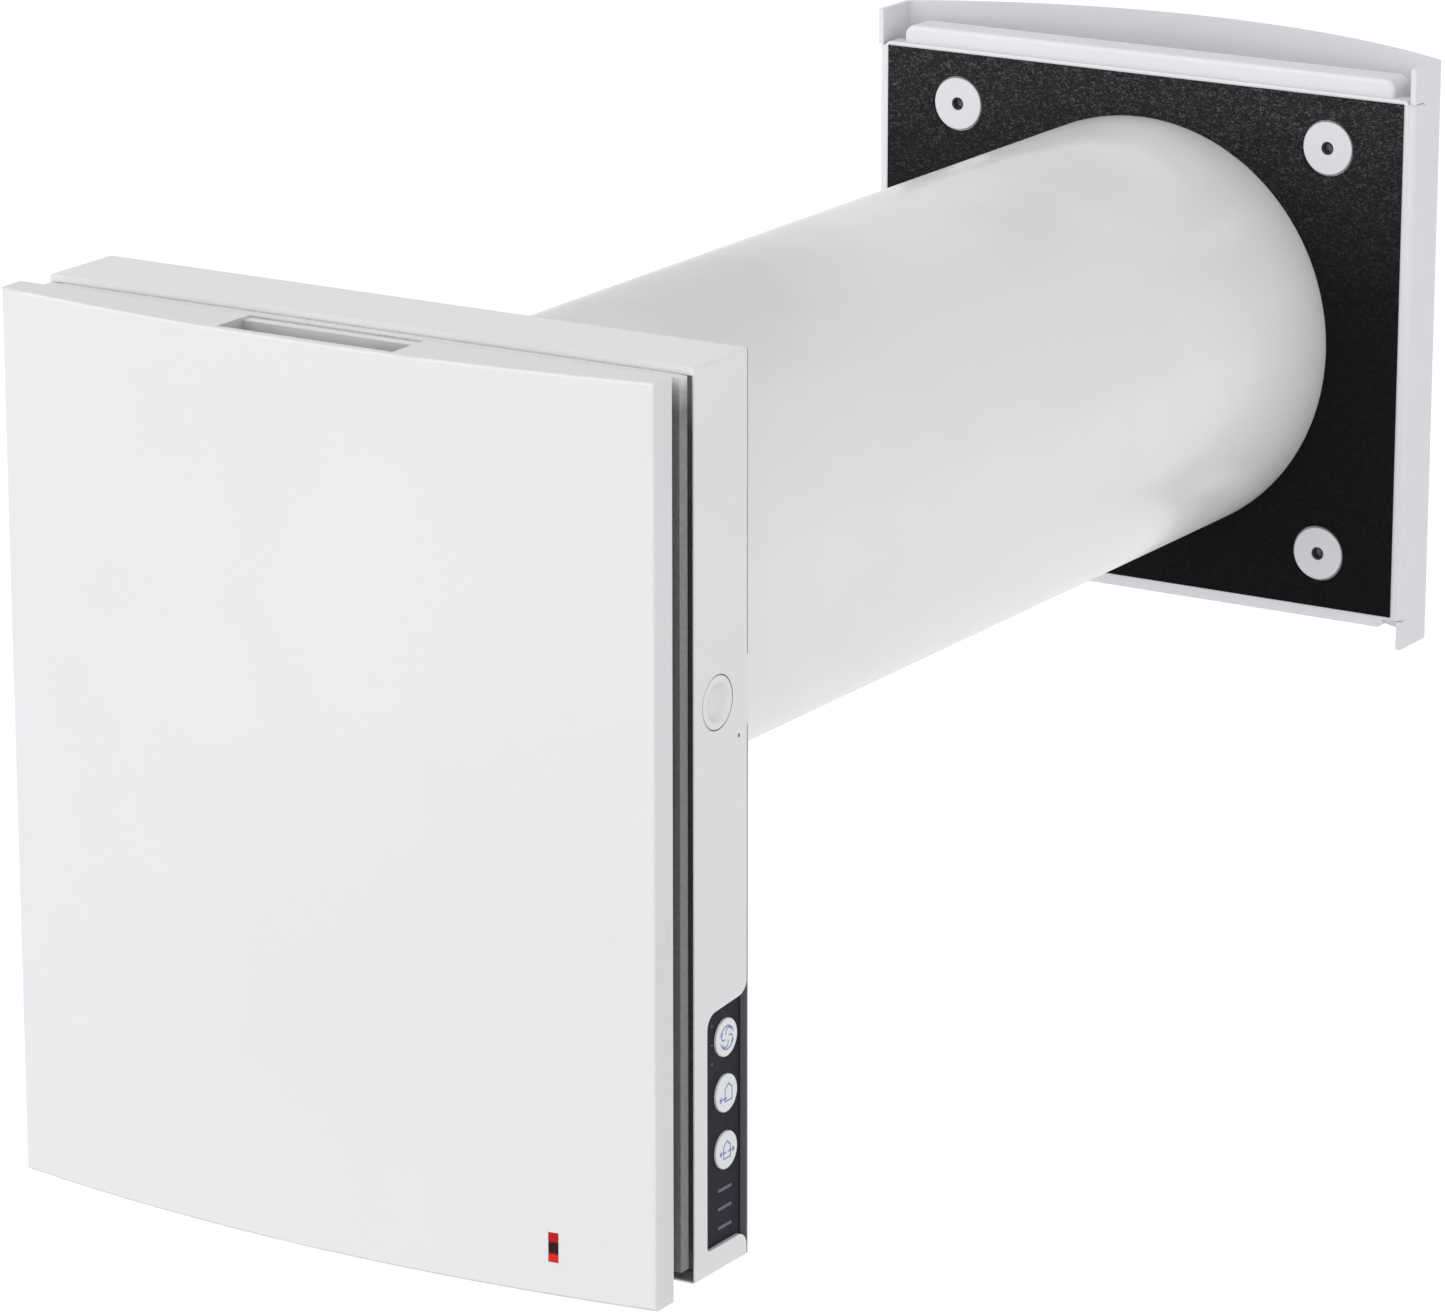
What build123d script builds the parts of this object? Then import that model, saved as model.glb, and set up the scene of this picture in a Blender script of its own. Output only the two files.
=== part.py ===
from build123d import *
from math import hypot, sqrt
import os

os.makedirs("parts", exist_ok=True)

# Heat recovery unit for one room: indoor unit, wall duct with cartridge, outdoor hood.
# Frame: duct axis is Y (outdoors is +Y), Z is up, y = 0 is the indoor wall face. All in mm.

# ---------------- wall duct ----------------
duct_r = 80.0
duct_wall = 3.0
duct_bore_r = duct_r - duct_wall
duct_start_y = -0.6
duct_end_y = 497.0

# ---------------- indoor unit ----------------
unit_half_w = 122.0
unit_top = 104.7
unit_bottom = -193.0
unit_front_y = -32.3
unit_back_y = -1.2
unit_wall = 2.5
rim_land = 0.5
rim_depth = 4.0
web_front_y = -25.0
web_back_y = -23.0
air_hole_r = 75.0
plate_front_y = -4.0
plate_lip_y = -0.4
post_x = 104.0
post_top_z = 88.0
post_bottom_z = -176.0
post_r = 3.0
cap_r = 8.8
running_gap = 0.1

# ---------------- front panel ----------------
panel_half_w = 123.0
panel_top = 105.0
panel_bottom = -194.0
panel_rim_y = -46.5
panel_edge_y = -56.8
panel_bulge = 11.0
panel_wall = 2.5
panel_crown_y = panel_edge_y - panel_bulge
grip_half_w = 33.0

# ---------------- shutter ----------------
shutter_half_w = 120.5
shutter_front_y = -38.2
shutter_back_y = -33.7
shutter_top = 102.4
shutter_bottom = -187.5
actuator_x = -92.0
actuator_z = 62.0

# ---------------- controls on the side ----------------
ctrl_front_y = -24.8
ctrl_bottom = -184.8
ctrl_top_back = -101.0
overlay_back_y = -2.9
overlay_face_x = 120.7
button_y = -12.2
button_zs = (-116.5, -135.1, -154.2)
button_r = 6.3
speed_mark_y = -19.9
speed_mark_zs = (-110.7, -117.2, -123.4)
status_mark_zs = (-167.2, -173.4, -179.8)
status_mark_w = 8.0

# ---------------- cartridge in the duct ----------------
cartridge_r = 76.9
fan_start_y = 34.0
fan_end_y = 96.0
core_start_y = 100.0
core_end_y = 256.0
cell_pitch = 12.0
cell_hole = 10.2
blade_count = 7

# ---------------- outdoor hood ----------------
wall_out_y = 479.3
foam_back_y = 484.3
base_back_y = 487.3
foam_half_w = 109.3
foam_top = 96.1
foam_bottom = -98.9
base_half_w = 111.2
base_top = 97.4
base_bottom = -100.4
hood_half_w = 113.8
hood_wall = 2.0
hood_side_y = 501.0
hood_crown_y = 532.5
hood_top = 109.6
hood_bottom = -111.0
spacer_x = 78.6
spacer_mid_z = -0.95
spacer_half_z = 77.45
spacer_r = 10.0
boss_x = 88.0
boss_top_z = 80.0
boss_bottom_z = -82.0


def across(y):
    """Plane across the duct at depth y: its x is X, its y is Z, and it faces the room."""
    return Plane(origin=(0, y, 0), x_dir=(1, 0, 0), z_dir=(0, -1, 0))


def lengthwise(x):
    """Plane along the side of the unit at x: its x is Y, its y is Z, and it faces +X."""
    return Plane(origin=(x, 0, 0), x_dir=(0, 1, 0), z_dir=(1, 0, 0))


def arc_y(half_w, edge_y, crown_y, x):
    """Depth of a shallow arc that runs from edge_y at the sides to crown_y in the middle."""
    rise = abs(crown_y - edge_y)
    radius = (half_w ** 2 + rise ** 2) / (2 * rise)
    drop = radius - sqrt(radius ** 2 - x ** 2)
    return crown_y + drop if crown_y < edge_y else crown_y - drop


def control_outline(margin):
    """Closed outline of the control window, drawn in Y and Z and shrunk by a margin."""
    low = ctrl_bottom + margin
    front = ctrl_front_y + margin
    peak = ctrl_top_back - margin
    Line((unit_back_y, peak), (unit_back_y, low - 5.0))
    ThreePointArc((unit_back_y, low - 5.0), (-2.6, low - 1.4), (-5.4, low))
    Line((-5.4, low), (front + 1.6, low))
    ThreePointArc((front + 1.6, low), (front + 0.47, low + 0.47), (front, low + 1.6))
    Line((front, low + 1.6), (front, peak - 10.0))
    ThreePointArc((front, peak - 10.0), (front + 1.2, peak - 6.5), (front + 4.4, peak - 4.7))
    Line((front + 4.4, peak - 4.7), (-6.4, peak - 3.5))
    ThreePointArc((-6.4, peak - 3.5), (-3.0, peak - 2.4), (unit_back_y, peak))


corner_posts = [(x, z) for x in (-post_x, post_x) for z in (post_bottom_z, post_top_z)]
spacer_spots = [(x, spacer_mid_z + s * spacer_half_z) for x in (-spacer_x, spacer_x) for s in (-1, 1)]
boss_spots = [(x, z) for x in (-boss_x, boss_x) for z in (boss_bottom_z, boss_top_z)]
unit_mid_z = (unit_top + unit_bottom) / 2
unit_h = unit_top - unit_bottom

# =====================================================================
# Indoor unit
# =====================================================================

# Back plate: screwed to the wall, with a collar into the duct and a lug for the lock screw.
wall_hole_x = 95.0
wall_hole_top = 84.0
wall_hole_bottom = -166.0
collar_r = 76.8
collar_bore_r = 74.6
lug_z = -4.8
with BuildPart() as back_plate:
    with BuildSketch(across(plate_lip_y)):
        with Locations((0, unit_mid_z)):
            Rectangle(2 * (unit_half_w - unit_wall - 0.3), unit_h - 2 * unit_wall - 0.6)
    extrude(amount=plate_lip_y - plate_front_y)
    with BuildSketch(across(0)):
        with Locations((0, unit_mid_z)):
            Rectangle(2 * unit_half_w - 0.4, unit_h - 0.4)
    extrude(amount=-plate_lip_y)
    with BuildSketch(across(duct_start_y)):
        Circle(duct_r + 2)
    extrude(amount=duct_start_y, mode=Mode.SUBTRACT)
    with BuildSketch(across(18)):
        Circle(collar_r)
    extrude(amount=18)
    with Locations((111.0, -13.4, lug_z)):
        Box(12, 18.8, 22)
    for side in (-1, 1):
        with Locations((side * 119.9, (unit_back_y + plate_lip_y) / 2, lug_z)):
            Box(3.8, plate_lip_y - unit_back_y, 23.4)
    with BuildSketch(across(20)):
        Circle(collar_bore_r)
    extrude(amount=30, mode=Mode.SUBTRACT)
    wall_holes = [(x, z) for x in (-wall_hole_x, wall_hole_x) for z in (wall_hole_bottom, wall_hole_top)]
    with BuildSketch(across(1)):
        with Locations(*wall_holes):
            Circle(2.6)
        with Locations((40, -122)):
            SlotOverall(44, 14)
    extrude(amount=8, mode=Mode.SUBTRACT)
    with BuildSketch(lengthwise(104)):
        with Locations((-18.6, lug_z)):
            Circle(1.8)
    extrude(amount=14, mode=Mode.SUBTRACT)
back_plate.part.label = "back_plate"
export_step(back_plate.part, "parts/back_plate.step")

# Housing: a frame with a web that carries the guide posts; windows for controls and cap.
with BuildPart() as housing:
    with BuildSketch(across(unit_back_y)):
        with Locations((0, unit_mid_z)):
            Rectangle(2 * unit_half_w, unit_h)
    extrude(amount=unit_back_y - unit_front_y)
    fillet(housing.edges().filter_by(Axis.Y), radius=0.8)
    for y_from, y_to in ((unit_back_y, web_back_y), (web_front_y, unit_front_y)):
        with BuildSketch(across(y_from)):
            with Locations((0, unit_mid_z)):
                Rectangle(2 * (unit_half_w - unit_wall), unit_h - 2 * unit_wall)
        extrude(amount=y_from - y_to, mode=Mode.SUBTRACT)
    for y, side in ((unit_front_y + rim_depth, unit_wall), (unit_front_y, rim_land)):
        with BuildSketch(across(y)):
            with Locations((0, unit_mid_z - (unit_wall - side) / 2)):
                Rectangle(2 * (unit_half_w - side), unit_h - unit_wall - side)
    loft(mode=Mode.SUBTRACT)
    with BuildSketch(across(web_back_y + 1)):
        Circle(air_hole_r)
        with Locations(*corner_posts):
            Circle(2.1)
        with Locations((actuator_x, actuator_z)):
            Circle(4.6)
        with Locations((88, -177.6)):
            Rectangle(9, 13)
    extrude(amount=4, mode=Mode.SUBTRACT)
    with BuildSketch(lengthwise(unit_half_w - 4)):
        with BuildLine():
            control_outline(0)
        make_face()
    extrude(amount=6, mode=Mode.SUBTRACT)
    with BuildSketch(lengthwise(unit_half_w - 4)):
        with Locations((-18.6, lug_z)):
            Circle(cap_r + 0.25)
        with Locations((-5.9, -18.6)):
            Circle(0.7)
    extrude(amount=6, mode=Mode.SUBTRACT)
    with BuildSketch(Plane.XY.offset(unit_bottom - 1)):
        for i in range(4):
            with Locations((-92, -17 + 3.2 * i)):
                Rectangle(20, 1.6)
    extrude(amount=unit_wall + 2, mode=Mode.SUBTRACT)
housing.part.label = "housing"
export_step(housing.part, "parts/housing.step")

# Foam lining on the room side of the web, with the air hole and clearances.
lining_t = 3.2
with BuildPart() as housing_lining:
    with BuildSketch(across(web_front_y)):
        with Locations((0, unit_mid_z)):
            Rectangle(2 * (unit_half_w - unit_wall - 0.3), unit_h - 2 * unit_wall - 0.6)
        Circle(air_hole_r, mode=Mode.SUBTRACT)
        with Locations(*corner_posts):
            Circle(6.0, mode=Mode.SUBTRACT)
        with Locations((actuator_x, actuator_z)):
            Circle(6.0, mode=Mode.SUBTRACT)
        with Locations((88, -177.6)):
            Rectangle(9, 13, mode=Mode.SUBTRACT)
    extrude(amount=lining_t)
housing_lining.part.label = "housing_lining"
export_step(housing_lining.part, "parts/housing_lining.step")

# Guide posts: the shutter slides on them and the front panel plugs onto their ends.
post_end_y = -53.0
with BuildPart() as guide_posts:
    with BuildSketch(across(web_front_y)):
        with Locations(*corner_posts):
            Circle(5.0)
    extrude(amount=2.6)
    with BuildSketch(across(web_front_y)):
        with Locations(*corner_posts):
            Circle(post_r)
    extrude(amount=web_front_y - post_end_y)
    with BuildSketch(across(web_back_y)):
        with Locations(*corner_posts):
            Circle(2.1)
    extrude(amount=web_back_y - web_front_y)
    tips = guide_posts.edges().filter_by_position(Axis.Y, post_end_y - 0.01, post_end_y + 0.01)
    chamfer(tips, length=0.8)
guide_posts.part.label = "guide_posts"
export_step(guide_posts.part, "parts/guide_posts.step")

# Dished cap over the lock screw, pressed into the side wall.
with BuildPart() as side_cap:
    with BuildSketch(lengthwise(unit_half_w - 2.1)):
        with Locations((-18.6, lug_z)):
            Circle(cap_r)
    extrude(amount=2.2)
    cap_rim = side_cap.edges().filter_by_position(Axis.X, unit_half_w + 0.05, unit_half_w + 0.2)
    fillet(cap_rim, radius=0.5)
    with BuildSketch(lengthwise(unit_half_w - 2.7)):
        with Locations((-18.6, lug_z)):
            Circle(cap_r - 0.5)
            Circle(cap_r - 1.6, mode=Mode.SUBTRACT)
    extrude(amount=0.7)
    with Locations((unit_half_w - 0.45, -18.6, lug_z)):
        Cone(4.7, 6.7, 1.3, rotation=(0, 90, 0), mode=Mode.SUBTRACT)
    dish_edge = side_cap.edges().filter_by_position(Axis.X, unit_half_w - 1.2, unit_half_w - 1.0)
    fillet(dish_edge, radius=0.8)
side_cap.part.label = "side_cap"
export_step(side_cap.part, "parts/side_cap.step")

# Lock screw under the cap.
with BuildPart() as lock_screw:
    with BuildSketch(lengthwise(105.5)):
        with Locations((-18.6, lug_z)):
            Circle(1.75)
    extrude(amount=11.5)
    with BuildSketch(lengthwise(117)):
        with Locations((-18.6, lug_z)):
            Circle(3.6)
    extrude(amount=1.9)
    with BuildSketch(lengthwise(118)):
        with Locations((-18.6, lug_z)):
            Rectangle(5, 0.8)
            Rectangle(0.8, 5)
    extrude(amount=1.2, mode=Mode.SUBTRACT)
lock_screw.part.label = "lock_screw"
export_step(lock_screw.part, "parts/lock_screw.step")

# ---------------- controls ----------------


bezel_face_x = overlay_face_x - 0.4
bezel_back_x = unit_half_w - unit_wall + 0.2
with BuildPart() as control_bezel:
    with BuildSketch(lengthwise(bezel_back_x)):
        with BuildLine():
            control_outline(0.1)
        make_face()
    extrude(amount=unit_half_w - bezel_back_x)
    with BuildSketch(Plane.XY.offset(-200)):
        with BuildLine():
            Polyline((bezel_face_x, -40), (bezel_face_x, overlay_back_y + 0.1), (unit_half_w, unit_back_y - 0.3))
            Polyline((unit_half_w, unit_back_y - 0.3), (unit_half_w + 1, unit_back_y - 0.3), (unit_half_w + 1, -40))
            Line((unit_half_w + 1, -40), (bezel_face_x, -40))
        make_face()
    extrude(amount=120, mode=Mode.SUBTRACT)
    with BuildSketch(lengthwise(bezel_back_x - 1)):
        for z in button_zs:
            with Locations((button_y, z)):
                Circle(button_r + 0.2)
        for z in speed_mark_zs:
            with Locations((speed_mark_y, z)):
                Circle(0.55)
        for z in status_mark_zs:
            with Locations((button_y, z)):
                Rectangle(status_mark_w + 0.2, 1.3)
    extrude(amount=4, mode=Mode.SUBTRACT)
control_bezel.part.label = "control_bezel"
export_step(control_bezel.part, "parts/control_bezel.step")

# Thin printed film stuck on the bezel.
with BuildPart() as control_overlay:
    with BuildSketch(lengthwise(bezel_face_x)):
        with BuildLine():
            control_outline(0.25)
        make_face()
        with Locations((overlay_back_y + 10, -145)):
            Rectangle(20, 120, mode=Mode.SUBTRACT)
        for z in button_zs:
            with Locations((button_y, z)):
                Circle(button_r + 0.2, mode=Mode.SUBTRACT)
        for z in speed_mark_zs:
            with Locations((speed_mark_y, z)):
                Circle(0.55, mode=Mode.SUBTRACT)
        for z in status_mark_zs:
            with Locations((button_y, z)):
                Rectangle(status_mark_w + 0.2, 1.3, mode=Mode.SUBTRACT)
    extrude(amount=0.4)
control_overlay.part.label = "control_overlay"
export_step(control_overlay.part, "parts/control_overlay.step")

# Light guides of the speed and status marks, flush with the film.
board_face_x = 109.0
with BuildPart() as light_guides:
    with BuildSketch(lengthwise(board_face_x + 1.0)):
        for z in speed_mark_zs:
            with Locations((speed_mark_y, z)):
                Circle(0.45)
        for z in status_mark_zs:
            with Locations((button_y, z)):
                Rectangle(status_mark_w, 1.1)
    extrude(amount=overlay_face_x - board_face_x - 1.0)
    with BuildSketch(lengthwise(117.4)):
        with Locations((speed_mark_y - 1.0, -117.0)):
            Rectangle(1.5, 16)
        with Locations((button_y, -173.5)):
            Rectangle(10, 14.5)
    extrude(amount=1.4)
light_guides.part.label = "light_guides"
export_step(light_guides.part, "parts/light_guides.step")

# Control board on edge behind the side wall, with light sources for the marks.
with BuildPart() as control_board:
    with Locations((board_face_x - 0.8, -13.1, -143.0)):
        Box(1.6, 17.0, 86.0)
    for z in speed_mark_zs:
        with Locations((board_face_x + 0.5, speed_mark_y, z)):
            Box(1.0, 1.6, 2.0)
    for z in status_mark_zs:
        with Locations((board_face_x + 0.5, button_y, z)):
            Box(1.0, 3.0, 1.5)
    with Locations((board_face_x - 2.6, -13, -150)):
        Box(2.0, 10, 10)
control_board.part.label = "control_board"
export_step(control_board.part, "parts/control_board.step")

# Three key switches on the control board, one under each button.
with BuildPart() as key_switches:
    for z in button_zs:
        with Locations((board_face_x + 1.2, button_y, z)):
            Box(2.4, 6, 6)
        with BuildSketch(lengthwise(board_face_x + 2.4)):
            with Locations((button_y, z)):
                Circle(1.6)
        extrude(amount=0.6)
key_switches.part.label = "key_switches"
export_step(key_switches.part, "parts/key_switches.step")


def add_button(z):
    """Adds one push button at height z to the current block: face, retaining flange, stem."""
    for x, r, t in ((120.55, button_r, 1.9), (119.0, button_r + 0.7, 1.2), (115.5, 2.0, 5.8)):
        with Locations((x, button_y, z)):
            Cylinder(r, t, rotation=(0, 90, 0))


with BuildPart() as button_speed:
    add_button(button_zs[0])
    fillet(button_speed.edges().filter_by_position(Axis.X, 121.4, 121.6), radius=0.4)
button_speed.part.label = "button_speed"
export_step(button_speed.part, "parts/button_speed.step")

with BuildPart() as button_supply:
    add_button(button_zs[1])
    fillet(button_supply.edges().filter_by_position(Axis.X, 121.4, 121.6), radius=0.4)
button_supply.part.label = "button_supply"
export_step(button_supply.part, "parts/button_supply.step")

with BuildPart() as button_recovery:
    add_button(button_zs[2])
    fillet(button_recovery.edges().filter_by_position(Axis.X, 121.4, 121.6), radius=0.4)
button_recovery.part.label = "button_recovery"
export_step(button_recovery.part, "parts/button_recovery.step")

# ---------------- electronics behind the web ----------------
board_y = -20.4
standoffs = [(-84, -180), (88, -150), (-84, -102), (88, -102)]
with BuildPart() as main_board:
    with BuildSketch(across(board_y + 1.6)):
        with Locations((0, -140)):
            Rectangle(188, 90)
        with Locations((88, -174)):
            Rectangle(24, 30, mode=Mode.SUBTRACT)
    extrude(amount=1.6)
    with BuildSketch(across(board_y)):
        with Locations(*standoffs):
            Circle(3.5)
    extrude(amount=board_y - web_back_y)
    for x, z, w, h in ((-20, -118, 16, 10), (8, -150, 9, 9), (30, -172, 20, 6), (62, -120, 12, 16)):
        with Locations((x, board_y + 1.6 + 1.2, z)):
            Box(w, 2.4, h)
main_board.part.label = "main_board"
export_step(main_board.part, "parts/main_board.step")

# Power supply block: transformer, two round capacitors and a choke.
with BuildPart() as power_supply:
    with Locations((-40, board_y + 1.6 + 5.5, -150)):
        Box(30, 11, 26)
    with BuildSketch(across(board_y + 1.6 + 11)):
        with Locations((-12, -172), (4, -172)):
            Circle(6)
    extrude(amount=11)
    with BuildSketch(across(board_y + 1.6 + 8)):
        with Locations((-68, -118)):
            Circle(9)
            Circle(4, mode=Mode.SUBTRACT)
    extrude(amount=8)
power_supply.part.label = "power_supply"
export_step(power_supply.part, "parts/power_supply.step")

# Terminal block for the mains and control wires, next to the cable opening.
with BuildPart() as terminal_block:
    with Locations((40, board_y + 1.6 + 5, -142)):
        Box(40, 10, 11)
    for i in range(6):
        with Locations((23.5 + 6.6 * i, board_y + 1.6 + 4.5, -139.5)):
            Box(4.2, 5, 7, mode=Mode.SUBTRACT)
        with BuildSketch(across(board_y + 1.6 + 10)):
            with Locations((23.5 + 6.6 * i, -144.5)):
                Circle(1.6)
        extrude(amount=2, mode=Mode.SUBTRACT)
terminal_block.part.label = "terminal_block"
export_step(terminal_block.part, "parts/terminal_block.step")

# Humidity sensor standing on the bottom wall over its slots.
with BuildPart() as humidity_sensor:
    with Locations((-92, -12.2, unit_bottom + unit_wall + 0.8)):
        Box(24, 13, 1.6)
        Box(21, 12.2, 1.6, mode=Mode.SUBTRACT)
    with Locations((-92, -12.2, unit_bottom + unit_wall + 2.4)):
        Box(24, 13, 1.6)
    with Locations((-92, -12.2, unit_bottom + unit_wall + 0.9)):
        Box(6, 6, 1.5)
humidity_sensor.part.label = "humidity_sensor"
export_step(humidity_sensor.part, "parts/humidity_sensor.step")

# Signal receiver on a small tower that reaches through the shutter towards the window.
with BuildPart() as signal_receiver:
    with Locations((88, -34.8, -177.6)):
        Box(7, 25.4, 7)
    with Locations((88, -22.6, -177.6)):
        Box(14, 0.8, 18)
    with Locations((88, -47.9, -177.6)):
        Box(2.6, 0.8, 7)
signal_receiver.part.label = "signal_receiver"
export_step(signal_receiver.part, "parts/signal_receiver.step")

# ---------------- shutter ----------------
shutter_mid_z = (shutter_top + shutter_bottom) / 2
shutter_h = shutter_top - shutter_bottom
with BuildPart() as shutter_plate:
    with BuildSketch(across(shutter_back_y)):
        with Locations((0, shutter_mid_z)):
            Rectangle(2 * shutter_half_w, shutter_h)
        with Locations(*corner_posts):
            Circle(post_r + running_gap, mode=Mode.SUBTRACT)
        with Locations((88, -177.6)):
            Rectangle(9, 8.6, mode=Mode.SUBTRACT)
    extrude(amount=shutter_back_y - shutter_front_y)
shutter_plate.part.label = "shutter_plate"
export_step(shutter_plate.part, "parts/shutter_plate.step")

# Soft strip round the back of the shutter, just inside the rim it closes against.
seal_w = 4.4
seal_t = 2.4
with BuildPart() as shutter_seal:
    with BuildSketch(across(shutter_back_y + seal_t)):
        with Locations((0, shutter_mid_z)):
            Rectangle(2 * shutter_half_w - 4, shutter_h - 2)
            Rectangle(2 * (shutter_half_w - seal_w) - 4, shutter_h - 2 - 2 * seal_w, mode=Mode.SUBTRACT)
    extrude(amount=seal_t)
shutter_seal.part.label = "shutter_seal"
export_step(shutter_seal.part, "parts/shutter_seal.step")

# Pin that ties the shutter to its thermal actuator.
with BuildPart() as shutter_pin:
    with BuildSketch(across(shutter_back_y + 1.2)):
        with Locations((actuator_x, actuator_z)):
            Circle(4.4)
    extrude(amount=1.2)
    with BuildSketch(across(-14)):
        with Locations((actuator_x, actuator_z)):
            Circle(2.5)
    extrude(amount=-14 - shutter_back_y)
shutter_pin.part.label = "shutter_pin"
export_step(shutter_pin.part, "parts/shutter_pin.step")

# Thermal actuator behind the web; the pin runs in its bore.
with BuildPart() as shutter_actuator:
    with BuildSketch(across(-5.5)):
        with Locations((actuator_x, actuator_z)):
            Circle(8.0)
    extrude(amount=web_back_y * -1 - 5.5)
    with BuildSketch(across(web_back_y)):
        with Locations((actuator_x, actuator_z)):
            Circle(4.5)
    extrude(amount=4.6)
    with BuildSketch(across(-7.2)):
        with Locations((actuator_x, actuator_z)):
            Circle(2.5 + running_gap)
    extrude(amount=30, mode=Mode.SUBTRACT)
shutter_actuator.part.label = "shutter_actuator"
export_step(shutter_actuator.part, "parts/shutter_actuator.step")

# ---------------- front panel ----------------


def panel_outline(inset, back_y):
    """Plan outline of the panel drawn in X and Y: shallow bulged front, straight sides."""
    half = panel_half_w - inset
    side_y = arc_y(panel_half_w, panel_edge_y, panel_crown_y, half) + inset
    Polyline((-half, side_y), (-half, back_y), (half, back_y), (half, side_y))
    ThreePointArc((half, side_y), (0, panel_crown_y + inset), (-half, side_y))


with BuildPart() as front_panel:
    with BuildSketch(Plane.XY.offset(panel_bottom)):
        with BuildLine():
            panel_outline(0, panel_rim_y)
        make_face()
    extrude(amount=panel_top - panel_bottom)
    face = front_panel.edges().filter_by_position(Axis.Y, panel_crown_y - 1, panel_edge_y + 0.01)
    fillet(face, radius=0.9)
    with BuildSketch(Plane.XY.offset(panel_bottom + panel_wall)):
        with BuildLine():
            panel_outline(panel_wall, panel_rim_y + 1)
        make_face()
    extrude(amount=panel_top - panel_bottom - 2 * panel_wall, mode=Mode.SUBTRACT)
    with Locations((0, -56.4, 96.0)):
        Box(2 * grip_half_w + 4, 19.8, 18)
    with Locations((0, -57.4, 98.0)):
        Box(2 * grip_half_w, 13.6, 18, mode=Mode.SUBTRACT)
    with Locations((0, -48.3, 104.9)):
        Box(2 * grip_half_w, 5.4, 1.6, mode=Mode.SUBTRACT)
    with BuildSketch(across(-47.5)):
        with Locations(*corner_posts):
            Circle(post_r + running_gap + 2)
    extrude(until=Until.NEXT)
    with BuildSketch(across(-47)):
        with Locations(*corner_posts):
            Circle(post_r + running_gap)
    extrude(amount=8, mode=Mode.SUBTRACT)
    with BuildSketch(across(-50)):
        with Locations((88.2, -177.6)):
            Rectangle(3.6, 10)
    extrude(amount=20, mode=Mode.SUBTRACT)
front_panel.part.label = "front_panel"
export_step(front_panel.part, "parts/front_panel.step")

# Sound foam inside the front panel.
pad_top = 92.0
pad_bottom = -166.0
with BuildPart() as panel_foam:
    with BuildSketch(Plane.XY.offset(pad_bottom)):
        with BuildLine():
            panel_outline(panel_wall, -49.5)
        make_face()
    extrude(amount=pad_top - pad_bottom)
    with Locations((0, -55, 96)):
        Box(2 * grip_half_w + 6, 40, 20.4, mode=Mode.SUBTRACT)
    with BuildSketch(across(-45)):
        with Locations(*corner_posts):
            Circle(7)
    extrude(amount=40, mode=Mode.SUBTRACT)
panel_foam.part.label = "panel_foam"
export_step(panel_foam.part, "parts/panel_foam.step")

# Indicator window in the panel with a light guide behind it.
window_y = arc_y(panel_half_w, panel_edge_y, panel_crown_y, 88.2)
with BuildPart() as indicator_window:
    with BuildSketch(across(-49.4)):
        with Locations((88.2, -177.6)):
            Rectangle(3.4, 9.8)
    extrude(amount=-49.4 - window_y - 0.1)
    with BuildSketch(across(-56.5)):
        with Locations((88.2, -177.6)):
            Rectangle(6.5, 13)
    extrude(amount=2.0)
indicator_window.part.label = "indicator_window"
export_step(indicator_window.part, "parts/indicator_window.step")

# =====================================================================
# Wall duct and cartridge
# =====================================================================
with BuildPart() as duct_tube:
    with BuildSketch(across(duct_end_y)):
        Circle(duct_r)
        Circle(duct_bore_r, mode=Mode.SUBTRACT)
    extrude(amount=duct_end_y - duct_start_y)
duct_tube.part.label = "duct_tube"
export_step(duct_tube.part, "parts/duct_tube.step")

# Strap for pulling the cartridge out into the room.
with BuildPart() as pull_strap:
    with Locations((0, 6.0, 0)):
        Box(143.6, 0.8, 12)
    for side in (-1, 1):
        with Locations((side * 71.4, 18.3, 0)):
            Box(0.8, 25.4, 12)
pull_strap.part.label = "pull_strap"
export_step(pull_strap.part, "parts/pull_strap.step")

# Round dust filters on both ends of the cartridge.
with BuildPart() as room_filter:
    with BuildSketch(across(31)):
        Circle(70.6)
    extrude(amount=12)
room_filter.part.label = "room_filter"
export_step(room_filter.part, "parts/room_filter.step")

with BuildPart() as outdoor_filter:
    with BuildSketch(across(272)):
        Circle(cartridge_r)
    extrude(amount=12)
outdoor_filter.part.label = "outdoor_filter"
export_step(outdoor_filter.part, "parts/outdoor_filter.step")

# Finger guard between filter and fan.
guard_rings = (60.0, 46.0, 32.0, 18.0)
with BuildPart() as finger_guard:
    with BuildSketch(across(fan_start_y)):
        Circle(cartridge_r)
        Circle(70.0, mode=Mode.SUBTRACT)
        for r in guard_rings:
            Circle(r + 1)
            Circle(r - 1, mode=Mode.SUBTRACT)
        for i in range(4):
            with Locations(Rot(0, 0, 45 + 90 * i) * Pos(44, 0)):
                Rectangle(54, 3)
    extrude(amount=3)
finger_guard.part.label = "finger_guard"
export_step(finger_guard.part, "parts/finger_guard.step")

# Fan frame: shroud ring, four struts and the motor seat.
with BuildPart() as fan_frame:
    with BuildSketch(across(fan_end_y)):
        Circle(cartridge_r)
        Circle(72.5, mode=Mode.SUBTRACT)
    extrude(amount=fan_end_y - fan_start_y)
    with BuildSketch(across(44)):
        Circle(24)
        for i in range(4):
            with Locations(Rot(0, 0, 90 * i) * Pos(48, 0)):
                Rectangle(52, 5)
    extrude(amount=6)
fan_frame.part.label = "fan_frame"
export_step(fan_frame.part, "parts/fan_frame.step")

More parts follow.
